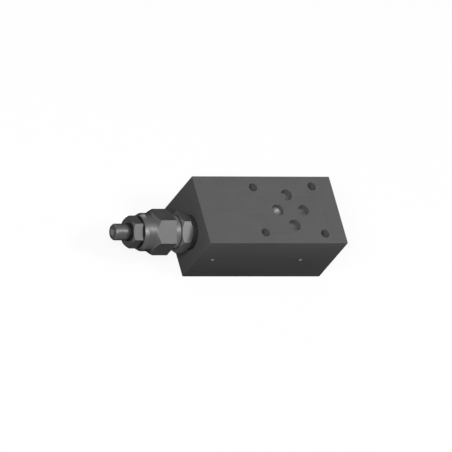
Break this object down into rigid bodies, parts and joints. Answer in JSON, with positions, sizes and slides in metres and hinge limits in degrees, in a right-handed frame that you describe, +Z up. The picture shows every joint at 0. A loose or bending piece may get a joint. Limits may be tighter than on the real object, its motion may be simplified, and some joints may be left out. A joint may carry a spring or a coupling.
{
  "type": "hydraulic sandwich valve",
  "caption": "Drilled steel block for stacking under a directional valve, with a screw-in pressure cartridge, adjusting screw and lock nut in one end.",
  "frame": {"origin": "centre of the port pattern on the lower mounting face", "axes": "+X along the block away from the adjusting screw, +Y to the back of the block, +Z up towards the upper mounting face"},
  "size_m": [0.1465, 0.0469, 0.04],
  "materials": {
    "block_steel": "blackened, satin",
    "cartridge_steel": "blackened, turned",
    "hardened_steel": "ground",
    "spring_steel": "drawn wire",
    "seal_rubber": "matte",
    "backup_plastic": "plain"
  },
  "bodies": {
    "block": {"valve_body": "block_steel", "label_pin_left": "hardened_steel", "label_pin_right": "hardened_steel", "port_seal_p": "seal_rubber", "port_seal_t": "seal_rubber", "port_seal_a": "seal_rubber", "port_seal_b": "seal_rubber", "gallery_plug_sleeve": "hardened_steel", "gallery_plug_ball": "hardened_steel", "cartridge_body": "cartridge_steel", "cartridge_seal": "seal_rubber", "nose_seal": "seal_rubber", "nose_backup_outer": "backup_plastic", "nose_backup_inner": "backup_plastic", "cap_seal": "seal_rubber", "valve_seat": "hardened_steel", "adjuster_cap": "cartridge_steel"},
    "poppet": {"poppet": "hardened_steel", "spring_plate": "hardened_steel", "main_spring": "spring_steel"},
    "plunger": {"spring_plunger": "hardened_steel", "plunger_seal": "seal_rubber"},
    "screw": {"adjusting_screw": "cartridge_steel"},
    "nut_ring": {"nut_seal": "backup_plastic"},
    "nut": {"lock_nut": "cartridge_steel"}
  },
  "joints": [
    {"name": "adjuster_feed", "type": "slide", "parent": "block", "child": "plunger", "axis": [1, 0, 0], "range_m": [-0.0015, 0.0045], "deforming": ["main_spring"]},
    {"name": "adjuster_turn", "type": "hinge", "parent": "plunger", "child": "screw", "pos_m": [-0.1, -0.0045, 0.021], "axis": [1, 0, 0], "range_deg": [-360, 1080]},
    {"name": "lock_nut_feed", "type": "slide", "parent": "block", "child": "nut_ring", "axis": [1, 0, 0], "range_m": [-0.003, 0]},
    {"name": "lock_nut_turn", "type": "hinge", "parent": "nut_ring", "child": "nut", "pos_m": [-0.1, -0.0045, 0.021], "axis": [1, 0, 0], "range_deg": [-720, 0]},
    {"name": "poppet_lift", "type": "slide", "parent": "block", "child": "poppet", "axis": [-1, 0, 0], "range_m": [0, 0.0012], "stiffness_N_per_m": 1000, "springref_m": -0.01, "deforming": ["main_spring"]}
  ],
  "couplings": [
    {"joint": "adjuster_turn", "follows": "adjuster_feed", "rad_per_m": 4188.8},
    {"joint": "lock_nut_turn", "follows": "lock_nut_feed", "rad_per_m": 4188.8}
  ]
}
